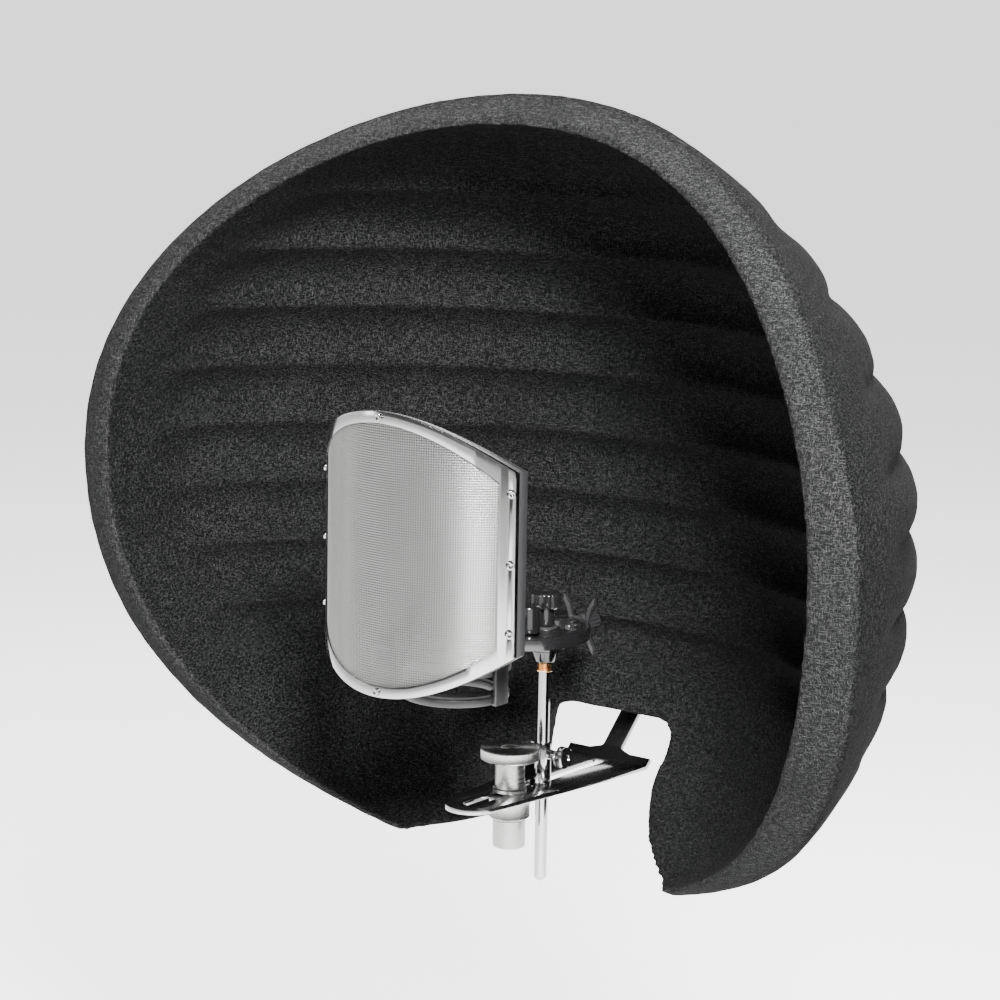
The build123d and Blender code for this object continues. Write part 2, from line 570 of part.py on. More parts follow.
def screen_tube_space():
    """The curved space that the filter's own layers take."""
    axis_y = SCREEN_Y + SCREEN_R
    return tube_z(SCREEN_R + 4, REAR_FRAME[0] - 0.05, 0, 400, 0, axis_y)


def main():
    make_bowl()
    make_bracket()
    make_post()
    make_rod()
    make_mount()
    make_rear_lyre()
    make_clasp()
    make_cradle()
    make_filter()
    make_filter_stalk()
    os.makedirs("parts", exist_ok=True)
    for name, solid in parts.items():
        export_step(solid, f"parts/{name}.step")


main()
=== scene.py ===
"""Looks of the reflection booth and its mesh pop filter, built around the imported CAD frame."""

import json
from math import acos, asin, copysign, cos, pi, radians, sin, sqrt

import bmesh
import bpy
from mathutils import Matrix, Vector, noise


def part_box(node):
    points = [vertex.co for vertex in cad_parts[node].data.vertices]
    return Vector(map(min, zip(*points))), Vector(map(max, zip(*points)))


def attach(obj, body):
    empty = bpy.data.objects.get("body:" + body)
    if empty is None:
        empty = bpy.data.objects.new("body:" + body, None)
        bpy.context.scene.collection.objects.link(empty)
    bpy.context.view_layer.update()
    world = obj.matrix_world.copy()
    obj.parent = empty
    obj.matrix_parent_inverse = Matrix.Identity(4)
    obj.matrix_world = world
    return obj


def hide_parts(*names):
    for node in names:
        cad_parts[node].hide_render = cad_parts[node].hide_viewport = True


MM = 0.001

# --- felt bowl, in millimetres: the same curves as the CAD skins ---
BOWL_Z = 225.0
RIM_FRONT_Y, RIM_FRONT_Z = -88.0, 255.0
RIM_TOP = (184.0, 69.0, 2.2)        # span, setback, power
RIM_BOTTOM = (290.0, 130.0, 2.4)
RIM_BEVEL = 9.0
INNER_HALF, INNER_LEAD = 264.0, 8.0
INNER_BACK = (5.0, 136.0)           # y of the back wall at the crown, and how far it deepens
INNER_UP, INNER_DOWN = (226.0, 2.05), (256.0, 2.1)
OUTER_HALF, OUTER_Y, OUTER_DEPTH = 294.0, -95.0, 294.0
OUTER_UP, OUTER_DOWN = (272.0, 1.8), (285.0, 2.17)
INNER_LOW, OUTER_LOW = -22.0, -24.0
ROWS, COLUMNS, RIM_STEPS = 260, 200, 10
RIM_CROWN = 4.0                     # how far the padded rim stands out of its two edges
# pressed ribs: height of one edge between two of them, pitch, depth, where they fade at the ends
INNER_RIBS = dict(edge=243.0, pitch=39.8, depth=11.0, low=(88.0, 112.0), high=(402.0, 428.0))
OUTER_RIBS = dict(edge=227.5, pitch=44.0, depth=9.0, low=(88.0, 112.0), high=(400.0, 430.0))
HOLLOW_POWER, BULGE_POWER = 0.8, 0.62   # roundness of the inner hollows and the outer bulges
RIB_MARGIN = (26.0, 88.0)           # distance from the rim over which the ribs rise
VOXEL, SMOOTHING = 2.2, 3
# notch for the bracket
NOTCH = ((72.0, -90.0), (72.0, 20.0), (44.0, 95.0), (70.0, 150.0), (70.0, 260.0))
NOTCH_TOP, NOTCH_FLARE, NOTCH_ROUND = 66.0, 34.0, 18.0
FLARE_LOW = -14.0                   # the notch's walls flare out towards this height
BELOW, BELOW_GROW = 10.0, 30.0      # the cutter goes on under the lobes, and widens by this much
FELT_LUMP, LUMP_SCALE = 0.35, 90.0  # small unevenness of the felt
RIM_LIGHT_FACING, RIM_LIGHT_FADE = (0.3, 0.7), 6.0   # painted light on the rim: where it starts (by how far the felt faces the front) and how far it fades

# --- curved filter, in millimetres ---
SCREEN_R, SCREEN_Y, SCREEN_HALF = 85.0, -130.5, 72.0
SIDE_Z, CREST_Z = (149.0, 258.0), (121.0, 290.5)
SHOULDER_INSET = 0.8                # share of an inset that the outline's shoulders move by
WEAVE_PITCH, WIRE_R, WEAVE_LIFT = 1.5, 0.22, 0.55
SCREEN_INSET, ROW_STEP = 1.2, 3     # the plain screen's rows have every third point
FRONT_WEAVE_R, REAR_WEAVE_R = SCREEN_R + 0.2, SCREEN_R - 1.4

# --- turned pieces, in millimetres ---
SMOOTH_SEGMENTS, TOOTH_SEGMENTS = 96, 4
TURNED_SHARP, CAD_SHARP = 38, 32    # degrees above which an edge is shaded sharp

# --- colours of the metals ---
STEEL = (0.33, 0.33, 0.327)
TURNED_STEEL = (0.3, 0.297, 0.292)
PLATING = (0.36, 0.36, 0.36)
BRASS = (0.78, 0.48, 0.24)
WIRE = (0.3, 0.3, 0.295)

# --- picture ---
CAMERA_PLACE = (1095.4, -1453.6, 551.7)
CAMERA_AZIMUTH, CAMERA_PITCH, CAMERA_ROLL = 37.292, 10.298, 1.0
LENS, SENSOR = 108.0, 36.0
# the surroundings' brightness: two places along an axis, and the strength at each
HEIGHT_RAMP = (0.15, 0.5, 3.0, 0.1)
DEPTH_RAMP = (-0.3, 0.6, 0.06, 1.0)
# lights: place, target and size in metres, then power in watts
LIGHTS = {
    "key": ((1.35, -1.35, 1.45), (0.0, 0.0, 0.22), (0.5, 0.5), 560),
    "back_fill": ((-0.2, 1.1, 2.6), (0.0, 0.0, 0.22), (0.6, 0.6), 420),
    "left_strip": ((-1.3, -1.2, 0.7), (0.0, -0.05, 0.15), (0.25, 1.0), 8),
}
FLOOR_Z, FLOOR_REACH = -0.5, 400.0  # metres
FLOOR_GREY, FLOOR_GLOW = 0.6, 1.5
CLIP_END = 1000.0


# ---------- small helpers ----------

def clamp(value, low, high):
    return max(low, min(high, value))


def smoothstep(low, high, value):
    share = clamp((value - low) / (high - low), 0.0, 1.0)
    return share * share * (3 - 2 * share)


def new_object(name, vertices, faces):
    """A mesh object from points in millimetres."""
    mesh = bpy.data.meshes.new(name)
    mesh.from_pydata([[c * MM for c in v] for v in vertices], [], faces)
    mesh.update()
    piece = bpy.data.objects.new(name, mesh)
    bpy.context.scene.collection.objects.link(piece)
    return piece


def shade(piece, sharp_deg=180.0):
    piece.data.polygons.foreach_set("use_smooth", [True] * len(piece.data.polygons))
    if sharp_deg < 180:
        piece.data.set_sharp_from_angle(angle=radians(sharp_deg))


def bake_modifiers(piece):
    """Replaces the mesh by what its modifiers make of it."""
    graph = bpy.context.evaluated_depsgraph_get()
    mesh = bpy.data.meshes.new_from_object(piece.evaluated_get(graph))
    piece.modifiers.clear()
    piece.data = mesh


def recalculate(piece, merge=1e-6):
    form = bmesh.new()
    form.from_mesh(piece.data)
    bmesh.ops.remove_doubles(form, verts=form.verts, dist=merge)
    bmesh.ops.dissolve_degenerate(form, dist=merge, edges=form.edges)
    bmesh.ops.recalc_face_normals(form, faces=form.faces)
    form.to_mesh(piece.data)
    form.free()


def place(piece, node, slot):
    """The piece stands for a CAD node, moves with its body and takes its slot."""
    piece.data.materials.clear()
    piece.data.materials.append(MATERIALS[slot])
    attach(piece, BODY_OF[node])
    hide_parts(node)
    return piece


# ---------- materials ----------

RAMP_SOCKETS = ("From Min", "From Max", "To Min", "To Max")


class Nodes:
    """Short way to write a material's node tree."""

    def __init__(self, name):
        self.material = bpy.data.materials.new(name)
        self.material.use_nodes = True
        self.tree = self.material.node_tree
        self.shader = self.tree.nodes["Principled BSDF"]
        self.coords = self.tree.nodes.new("ShaderNodeTexCoord").outputs["Object"]

    def set(self, **values):
        for name, value in values.items():
            socket = self.shader.inputs[name.replace("_", " ")]
            socket.default_value = (*value, 1.0) if isinstance(value, tuple) else value

    def link(self, output, socket):
        target = self.shader.inputs[socket] if isinstance(socket, str) else socket
        self.tree.links.new(output, target)

    def mapping(self, scale, rotation=(0.0, 0.0, 0.0)):
        node = self.tree.nodes.new("ShaderNodeMapping")
        node.inputs["Scale"].default_value = scale
        node.inputs["Rotation"].default_value = [radians(a) for a in rotation]
        self.link(self.coords, node.inputs["Vector"])
        return node.outputs["Vector"]

    def noise(self, scale, vector=None, detail=3.0, roughness=0.6):
        node = self.tree.nodes.new("ShaderNodeTexNoise")
        node.inputs["Scale"].default_value = scale
        node.inputs["Detail"].default_value = detail
        node.inputs["Roughness"].default_value = roughness
        self.link(vector or self.coords, node.inputs["Vector"])
        return node.outputs["Fac"]

    def remap(self, value, low, high, to_low, to_high):
        node = self.tree.nodes.new("ShaderNodeMapRange")
        for name, number in zip(RAMP_SOCKETS, (low, high, to_low, to_high)):
            node.inputs[name].default_value = number
        self.link(value, node.inputs["Value"])
        return node.outputs["Result"]

    def math(self, operation, first, second):
        node = self.tree.nodes.new("ShaderNodeMath")
        node.operation = operation
        for socket, value in zip(node.inputs, (first, second)):
            if isinstance(value, (int, float)):
                socket.default_value = value
            else:
                self.link(value, socket)
        return node.outputs["Value"]

    def colours(self, value, first, second):
        node = self.tree.nodes.new("ShaderNodeMix")
        node.data_type = "RGBA"
        node.inputs[6].default_value = (*first, 1.0)
        node.inputs[7].default_value = (*second, 1.0)
        self.link(value, node.inputs[0])
        return node.outputs[2]

    def bump(self, height, distance, strength=1.0):
        node = self.tree.nodes.new("ShaderNodeBump")
        node.inputs["Distance"].default_value = distance
        node.inputs["Strength"].default_value = strength
        self.link(height, node.inputs["Height"])
        self.link(node.outputs["Normal"], "Normal")


def felt_material():
    """Pressed felt: dark matted fibres with pale ones on top; painted light makes it lighter where the rim
    faces the front.
    """
    felt = Nodes("charcoal_felt")
    strokes = felt.noise(1.0, felt.mapping((260.0, 420.0, 1500.0), (0.0, 24.0, 0.0)), 4.0, 0.7)
    crossing = felt.noise(1.0, felt.mapping((1400.0, 700.0, 330.0), (14.0, -38.0, 10.0)), 4.0, 0.7)
    fibres = felt.math("MAXIMUM", strokes, crossing)
    specks = felt.noise(1900.0, None, 2.0, 0.5)
    on_top = felt.remap(fibres, 0.5, 0.74, 0.0, 1.0)
    pale = felt.math("MULTIPLY", on_top, felt.remap(specks, 0.35, 0.7, 0.25, 1.0))
    clouds = felt.remap(felt.noise(14.0, None, 3.0, 0.5), 0.3, 0.7, 0.75, 1.15)
    mix = felt.math("MULTIPLY", pale, clouds)
    # painted light: the rim attribute, set where the rim faces the front towards the key light, mixes in
    # lighter felt colours
    rim = felt.tree.nodes.new("ShaderNodeAttribute")
    rim.attribute_name = "rim"
    ground = felt.colours(mix, (0.0012, 0.0012, 0.00125), (0.034, 0.034, 0.0344))
    # the lighter colours of the rim's painted light
    edge = felt.colours(mix, (0.004, 0.004, 0.0041), (0.06, 0.06, 0.061))
    both = felt.tree.nodes.new("ShaderNodeMix")
    both.data_type = "RGBA"
    felt.link(rim.outputs["Fac"], both.inputs[0])
    felt.link(ground, both.inputs[6])
    felt.link(edge, both.inputs[7])
    felt.link(both.outputs[2], "Base Color")
    felt.set(Roughness=1.0, Sheen_Weight=0.0, Specular_IOR_Level=0.03)
    felt.bump(felt.math("ADD", fibres, felt.math("MULTIPLY", specks, 0.7)), 0.0009, 0.8)
    return felt.material


def metal_material(name, colour, roughness, grain, spread):
    """Metal whose roughness wanders with a noise that has its own scale along each axis."""
    metal = Nodes(name)
    metal.set(Metallic=1.0, Base_Color=colour)
    lines = metal.noise(1.0, metal.mapping(grain), 3.0, 0.6)
    metal.link(metal.remap(lines, 0.3, 0.7, max(roughness - spread, 0.02), roughness + spread), "Roughness")
    return metal.material


def spun_material():
    """Turned steel: rings about each part's own axis bend the highlight into a fan."""
    steel = Nodes("turned_steel")
    steel.set(Metallic=1.0, Base_Color=TURNED_STEEL, Anisotropic=0.75)
    tangent = steel.tree.nodes.new("ShaderNodeTangent")
    tangent.direction_type = "RADIAL"
    tangent.axis = "Z"
    steel.link(tangent.outputs["Tangent"], "Tangent")
    rings = steel.noise(1.0, steel.mapping((40.0, 40.0, 5000.0)), 2.0, 0.5)
    steel.link(steel.remap(rings, 0.3, 0.7, 0.2, 0.34), "Roughness")
    steel.bump(rings, 0.00004, 0.4)
    return steel.material


def plain_material(name, colour, roughness, grain, depth, coat=0.0):
    """Moulded plastic, nylon or rubber with a fine skin."""
    skin = Nodes(name)
    shade_of = skin.remap(skin.noise(grain, None, 3.0, 0.6), 0.3, 0.7, 0.0, 1.0)
    darker, lighter = (tuple(c * share for c in colour) for share in (0.85, 1.2))
    skin.link(skin.colours(shade_of, darker, lighter), "Base Color")
    skin.link(skin.remap(shade_of, 0.0, 1.0, roughness - 0.05, roughness + 0.05), "Roughness")
    skin.set(Coat_Weight=coat, Coat_Roughness=0.08)
    skin.bump(shade_of, depth, 0.6)
    return skin.material


def make_materials():
    felt = felt_material()
    return {
        "felt": felt,
        "felt_rim": felt,
        "polished_steel": metal_material("polished_steel", STEEL, 0.15, (30.0, 30.0, 30.0), 0.05),
        "satin_steel": spun_material(),
        "chrome": metal_material("bright_rod_plating", PLATING, 0.09, (25.0, 25.0, 8.0), 0.03),
        "brass": metal_material("bright_brass", BRASS, 0.2, (900.0, 900.0, 900.0), 0.06),
        "black_gloss": plain_material("gloss_black_moulding", (0.004, 0.004, 0.0042), 0.16, 120.0, 0.00004,
                                      coat=0.3),
        "black_matte": plain_material("matte_black_moulding", (0.007, 0.007, 0.0074), 0.42, 2600.0, 0.00008),
        "rubber": plain_material("soft_black_rubber", (0.006, 0.006, 0.0062), 0.7, 1800.0, 0.00006),
        "nylon": plain_material("black_nylon", (0.012, 0.012, 0.0124), 0.4, 900.0, 0.00004),
        "mesh": metal_material("steel_wire", WIRE, 0.34, (700.0, 700.0, 700.0), 0.08),
    }


# ---------- felt bowl ----------

def rim_y(z):
    span, setback, power = RIM_TOP if z > RIM_FRONT_Z else RIM_BOTTOM
    return RIM_FRONT_Y + setback * (abs(z - RIM_FRONT_Z) / span) ** power


def dome_share(z, up, down):
    reach, power = up if z > BOWL_Z else down
    return max(0.0, 1 - (abs(z - BOWL_Z) / reach) ** power) ** (1 / power)


def rib_wave(ribs, z):
    """0 at the edges between two ribs, 1 in the middle of each."""
    return abs(sin(pi * (z - ribs["edge"]) / ribs["pitch"]))


def rib_share(ribs, z, from_rim):
    """How much of the ribs' depth is left at a height and a distance from the rim."""
    ends = smoothstep(*ribs["low"], z) * (1 - smoothstep(*ribs["high"], z))
    return ribs["depth"] * ends * smoothstep(*RIB_MARGIN, from_rim)


def inner_point(z, across):
    """A point of the inner skin; across runs from -1 at one rim edge to 1 at the other."""
    share = dome_share(z, INNER_UP, INNER_DOWN)
    centre = rim_y(z) - INNER_LEAD
    deep = INNER_BACK[0] + INNER_BACK[1] * share - centre
    reach = acos(clamp(INNER_LEAD / deep, -1.0, 1.0))
    full = rib_share(INNER_RIBS, z, (1 - abs(across)) * reach * INNER_HALF * share)
    sink = full * rib_wave(INNER_RIBS, z) ** HOLLOW_POWER
    angle = across * reach
    return Vector(((INNER_HALF * share + sink) * sin(angle), centre + (deep + sink) * cos(angle), z))


def outer_point(z, across):
    """The same for the outer skin, whose ribs bulge between grooves that sink inwards."""
    share = dome_share(z, OUTER_UP, OUTER_DOWN)
    deep = max(OUTER_DEPTH * share, 1e-3)
    reach = acos(clamp((rim_y(z) + RIM_BEVEL - OUTER_Y) / deep, -1.0, 1.0))
    full = rib_share(OUTER_RIBS, z, (1 - abs(across)) * reach * OUTER_HALF * share)
    sink = full * (1 - rib_wave(OUTER_RIBS, z) ** BULGE_POWER)
    angle = across * reach
    return Vector(((OUTER_HALF * share - sink) * sin(angle), OUTER_Y + (deep - sink) * cos(angle), z))


def outer_crown():
    """Height where the outer skin's back meets its own rim."""
    low, high = BOWL_Z, BOWL_Z + OUTER_UP[0]
    for _ in range(40):
        middle = (low + high) / 2
        back = OUTER_Y + OUTER_DEPTH * dome_share(middle, OUTER_UP, OUTER_DOWN)
        low, high = (middle, high) if back > rim_y(middle) + RIM_BEVEL else (low, middle)
    return low


def heights(low, high):
    """Heights of the rows, closer together at the crown and the lobes."""
    rows = []
    for row in range(ROWS + 1):
        turn = sin(pi * (row / ROWS - 0.5))
        rows.append(BOWL_Z + turn * ((high - BOWL_Z) if turn > 0 else (BOWL_Z - low)))
    return rows


def rim_strip(inner, outer):
    """Points across the padded rim, from the inner edge to the outer one."""
    edge = outer - inner
    front = Vector((0.0, -1.0, 0.0))
    front = (front - edge * (front.dot(edge) / edge.length_squared)).normalized()
    strip = []
    for step in range(RIM_STEPS + 1):
        across = step / RIM_STEPS
        strip.append(inner + edge * across + front * RIM_CROWN * (1 - (2 * across - 1) ** 4))
    return strip


def felt_body():
    """The bowl as one closed body: inner skin, rim, outer skin and the lobes' undersides."""
    inner_z = heights(INNER_LOW, BOWL_Z + INNER_UP[0])
    outer_z = heights(OUTER_LOW, outer_crown())
    loops = []
    for z_in, z_out in zip(inner_z, outer_z):
        spread = [2 * i / COLUMNS - 1 for i in range(COLUMNS + 1)]
        inner = [inner_point(z_in, a) for a in spread]
        outer = [outer_point(z_out, a) for a in reversed(spread)]
        right = rim_strip(inner[-1], outer[0])[1:-1]
        left = list(reversed(rim_strip(inner[0], outer[-1])[1:-1]))
        loops.append(inner + right + outer + left)
    count = len(loops[0])
    vertices = [v for loop in loops for v in loop]
    faces = []
    for row in range(ROWS):
        for i in range(count):
            j = (i + 1) % count
            a, b = row * count, (row + 1) * count
            faces.append((a + i, a + j, b + j, b + i))
    side = RIM_STEPS - 1
    outer_start = COLUMNS + 1 + side
    top = ROWS * count
    for i in range(COLUMNS):
        outer_i = outer_start + COLUMNS - i
        faces.append((i + 1, i, outer_i, outer_i - 1))
        faces.append((top + i, top + i + 1, top + outer_i - 1, top + outer_i))
    faces.append([COLUMNS] + [COLUMNS + 1 + k for k in range(side)] + [outer_start])
    last = outer_start + COLUMNS
    faces.append([last] + [last + 1 + k for k in range(side)] + [0])
    body = new_object("felt_bowl", vertices, faces)
    recalculate(body, 1e-5)
    return body


def notch_cutter():
    """The bracket's notch: its walls flare out into the rounded feet of the lobes."""
    levels = [(OUTER_LOW - BELOW, NOTCH_FLARE + BELOW_GROW)]
    turns = [radians(90.0 * step / 8) for step in range(9)]
    for turn in turns:
        levels.append((FLARE_LOW + NOTCH_FLARE * (1 - cos(turn)), NOTCH_FLARE * (1 - sin(turn))))
    for turn in turns:
        levels.append((NOTCH_TOP - NOTCH_ROUND * (1 - sin(turn)), -NOTCH_ROUND * (1 - cos(turn))))
    vertices = []
    for z, grow in levels:
        side = [(x + grow, y) for x, y in NOTCH]
        vertices += [(x, y, z) for x, y in side] + [(-x, y, z) for x, y in reversed(side)]
    count = 2 * len(NOTCH)
    faces = [list(range(count)), list(range((len(levels) - 1) * count, len(levels) * count))]
    for level in range(len(levels) - 1):
        a, b = level * count, (level + 1) * count
        for i in range(count):
            j = (i + 1) % count
            faces.append((a + i, a + j, b + j, b + i))
    cutter = new_object("notch_cutter", vertices, faces)
    recalculate(cutter)
    return cutter


def felt_bowl():
    body, cutter = felt_body(), notch_cutter()
    cut = body.modifiers.new("notch", "BOOLEAN")
    cut.operation, cut.solver, cut.object = "DIFFERENCE", "EXACT", cutter
    remesh = body.modifiers.new("skin", "REMESH")
    remesh.mode, remesh.voxel_size = "VOXEL", VOXEL * MM
    smooth = body.modifiers.new("soft", "SMOOTH")
    smooth.factor, smooth.iterations = 0.5, SMOOTHING
    bake_modifiers(body)
    bpy.data.objects.remove(cutter)
    # painted light: the rim attribute is high where the rim band faces the front and fades behind the rim's
    # edge
    rim = body.data.attributes.new("rim", "FLOAT", "POINT")
    normals = [v.normal.copy() for v in body.data.vertices]
    for vertex, normal in zip(body.data.vertices, normals):
        vertex.co += normal * (FELT_LUMP * MM) * noise.noise(vertex.co * LUMP_SCALE)
        behind = vertex.co.y / MM - rim_y(vertex.co.z / MM)
        front_lit = smoothstep(*RIM_LIGHT_FACING, -normal.y)
        rim.data[vertex.index].value = front_lit * (1 - smoothstep(RIM_BEVEL, RIM_BEVEL + RIM_LIGHT_FADE, behind))
    shade(body)
    body.data.materials.append(MATERIALS["felt"])
    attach(body, "booth")
    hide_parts("outer_shell", "inner_shell", "rim_band", "notch_lining")


# ---------- turned and knurled pieces ----------

AXES = {"X": Matrix.Rotation(pi / 2, 4, "Y"), "Y": Matrix.Rotation(-pi / 2, 4, "X"), "Z": Matrix.Identity(4)}


def turned(name, profile, centre, axis="Z", teeth=48, bite=0.0, closed=False):
    """A lathed piece: (radius, height, knurl share) points about an axis, in millimetres."""
    segments = teeth * TOOTH_SEGMENTS if bite else SMOOTH_SEGMENTS
    vertices, faces = [], []
    for radius, height, knurl in profile:
        for step in range(segments):
            angle = 2 * pi * step / segments
            tooth = bite * knurl * (0.5 - 0.5 * cos(angle * teeth)) if bite else 0.0
            vertices.append(((radius - tooth) * cos(angle), (radius - tooth) * sin(angle), height))
    rings = len(profile)
    for ring in range(rings if closed else rings - 1):
        a, b = ring * segments, ((ring + 1) % rings) * segments
        for i in range(segments):
            j = (i + 1) % segments
            faces.append((a + i, a + j, b + j, b + i))
    piece = new_object(name, vertices, faces)
    piece.data.transform(AXES[axis])
    piece.data.transform(Matrix.Translation(Vector(centre) * MM))
    recalculate(piece)
    shade(piece, TURNED_SHARP)
    return piece


def middle(node):
    low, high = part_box(node)
    return (low + high) / 2 / MM


def lock_knob():
    low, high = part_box("lock_knob")
    bottom, top, radius = low.z / MM, high.z / MM, (high.x - low.x) / 2 / MM
    disc = top - 7.5
    neck, bore = 9.4, 5.05
    profile = [(bore, bottom, 0), (neck - 0.5, bottom, 0), (neck, bottom + 0.5, 0), (neck, disc - 1.2, 0),
               (neck - 0.5, disc - 0.8, 0), (neck - 0.5, disc, 0), (radius - 1.2, disc, 0),
               (radius, disc + 0.7, 0), (radius, disc + 1.1, 1), (radius, top - 1.1, 1),
               (radius, top - 0.7, 0),
               (radius - 0.8, top, 0), (bore + 1.2, top, 0), (bore + 0.9, top - 0.35, 0),
               (0.01, top - 0.35, 0)]
    knob = turned("knurled_lock_knob", profile, (0, 0, 0), teeth=110, bite=0.3)
    place(knob, "lock_knob", "satin_steel")


def stand_socket():
    low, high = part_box("stand_socket")
    top, flange = high.z / MM, (high.x - low.x) / 2 / MM
    foot, step, bore, depth = 10.3, 19.0, 7.4, 16.0
    profile = [(0.01, step + 1, 0), (0.01, depth, 0), (bore, depth, 0)]
    turns = 14
    for turn in range(turns):
        z = depth - 0.6 - turn * (depth - 1.8) / turns
        profile += [(bore, z, 0), (bore + 0.45, z - 0.5, 0)]
    profile += [(bore, 1.0, 0), (bore + 0.7, 0.0, 0), (foot - 0.8, 0.0, 0), (foot, 0.8, 0),
                (foot, step - 1.4, 0),
                (foot - 0.45, step - 1.0, 0), (foot - 0.45, step, 0), (flange - 0.8, step, 0),
                (flange, step + 0.8, 0), (flange, step + 1.2, 1), (flange, top - 1.4, 1),
                (flange, top - 1.0, 0),
                (flange - 0.7, top, 0), (5.05, top, 0), (5.05, step + 1, 0)]
    socket = turned("stand_socket_turned", profile, (0, 0, 0), teeth=84, bite=0.25, closed=True)
    place(socket, "stand_socket", "satin_steel")


def thumb_screw():
    low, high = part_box("rod_thumb_screw")
    start, end, head = low.x / MM, high.x / MM, (high.z - low.z) / 2 / MM
    face = end - 6.0
    profile = [(0.01, start, 0), (1.7, start, 0), (2.0, start + 0.4, 0), (2.0, face - 3.0, 0),
               (3.2, face - 2.6, 0), (3.2, face, 0), (head - 0.8, face, 0), (head, face + 0.7, 0),
               (head, face + 1.0, 1), (head, end - 1.0, 1), (head, end - 0.7, 0), (head - 0.7, end, 0),
               (2.4, end, 0), (2.2, end - 0.3, 0), (0.01, end - 0.3, 0)]
    centre = middle("rod_thumb_screw")
    screw = turned("knurled_thumb_screw", profile, (0, centre.y, centre.z), "X", teeth=44, bite=0.45)
    place(screw, "rod_thumb_screw", "chrome")


def grip_knob(node, name, axis, centre, body_r, grip_r, stem, grip, teeth, bore=0.0, slot="black_gloss"):
    """A moulded knob: a smooth stem, then a scalloped grip with a dished end."""
    (stem_a, _), (grip_a, grip_b) = stem, grip
    way = copysign(1.0, grip_b - grip_a)
    profile = [(max(bore, 0.01), stem_a, 0), (body_r - 0.4, stem_a, 0), (body_r, stem_a + 0.5 * way, 0),
               (body_r, grip_a, 0), (grip_r - 1.0, grip_a, 0), (grip_r, grip_a + 0.9 * way, 0.6),
               (grip_r, grip_a + 1.6 * way, 1), (grip_r, grip_b - 1.8 * way, 1),
               (grip_r - 0.4, grip_b - 0.8 * way, 0.5), (grip_r - 1.5, grip_b, 0),
               (grip_r - 3.0, grip_b - 0.2 * way, 0), (grip_r - 3.6, grip_b - 1.0 * way, 0),
               (0.01, grip_b - 1.2 * way, 0)]
    knob = turned(name, profile, centre, axis, teeth=teeth, bite=0.9)
    place(knob, node, slot)


def knobs():
    rod = middle("support_rod")
    low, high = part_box("mount_knob")
    bottom, top = low.z / MM, high.z / MM
    grip_knob("mount_knob", "mount_grip_knob", "Z", (rod.x, rod.y, 0), 6.0, (high.x - low.x) / 2 / MM,
              (bottom, top - 10), (top - 10, top), 18, 4.05)
    low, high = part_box("tilt_knob")
    centre = middle("tilt_knob")
    grip_knob("tilt_knob", "tilt_grip_knob", "X", (0, centre.y, centre.z), 3.4, (high.z - low.z) / 2 / MM,
              (low.x / MM, low.x / MM + 1.2), (low.x / MM + 1.2, high.x / MM), 12, 1.55)
    low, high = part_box("rear_knob")
    centre = middle("rear_knob")
    front, back = low.y / MM, high.y / MM
    grip = back - 15.0
    grip_knob("rear_knob", "rear_grip_knob", "Y", (centre.x, 0, centre.z), 2.0, (high.z - low.z) / 2 / MM,
              (front, grip), (grip, back), 14, slot="black_matte")


def brass_thread():
    low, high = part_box("brass_adapter")
    bottom, top, collar = low.z / MM, high.z / MM, (high.x - low.x) / 2 / MM
    crest, root, pitch, bore = 4.7, 4.2, 0.8, 3.2
    centre = middle("brass_adapter")
    profile = [(bore, bottom, 0), (collar - 0.2, bottom, 0), (collar, bottom + 0.2, 0),
               (collar, bottom + 1.0, 0), (root, bottom + 1.2, 0)]
    z = bottom + 1.4
    while z < top - pitch:
        profile += [(root, z, 0), (crest, z + pitch / 2, 0)]
        z += pitch
    profile += [(root, top - 0.1, 0), (bore, top, 0)]
    piece = turned("brass_thread", profile, (centre.x, centre.y, 0), closed=True)
    place(piece, "brass_adapter", "brass")


# ---------- CAD shapes with their edges eased ----------

def eased(node, width):
    """A copy of a CAD node whose hard edges are rounded."""
    piece = bpy.data.objects.new(node + "_eased", frame["nodes"][node].data.copy())
    bpy.context.scene.collection.objects.link(piece)
    form = bmesh.new()
    form.from_mesh(piece.data)
    bmesh.ops.remove_doubles(form, verts=form.verts, dist=2e-6)
    bmesh.ops.dissolve_limit(form, angle_limit=radians(1.0), verts=form.verts, edges=form.edges)
    form.to_mesh(piece.data)
    form.free()
    bevel = piece.modifiers.new("edges", "BEVEL")
    bevel.width, bevel.segments, bevel.limit_method = width * MM, 2, "ANGLE"
    bevel.angle_limit = radians(35)
    bevel.use_clamp_overlap = True
    bake_modifiers(piece)
    shade(piece, CAD_SHARP)
    place(piece, node, SLOT_OF[node])


EASED = {
    "bracket_plate": 0.7, "clamp_sleeve": 0.4, "swivel_base": 0.7, "loop_arm": 1.3, "rear_lyre": 0.5,
    "clasp_ring": 0.6, "clasp_gate": 0.6, "seat_ring": 1.2, "left_lyre": 0.5, "right_lyre": 0.5,
    "front_lyre": 0.5, "filter_front_band": 0.25, "filter_rear_frame": 0.3, "filter_stalk": 0.5,
    "filter_lug": 0.4, "filter_screws": 0.35, "shell_screws": 0.6, "shell_nuts": 0.4,
}


# ---------- woven filter screens ----------

def outline_z(x, inset):
    """Lowest and highest point of the screen's outline at a distance from its middle line."""
    ends = []
    half = SCREEN_HALF - inset
    for side, crest, way in ((SIDE_Z[0], CREST_Z[0], -1), (SIDE_Z[1], CREST_Z[1], 1)):
        shoulder, peak = side - way * inset * SHOULDER_INSET, crest - way * inset
        rise = abs(peak - shoulder)
        bow = (half * half + rise * rise) / (2 * rise)
        ends.append(peak - way * (bow - sqrt(max(bow * bow - x * x, 0.0))))
    return ends


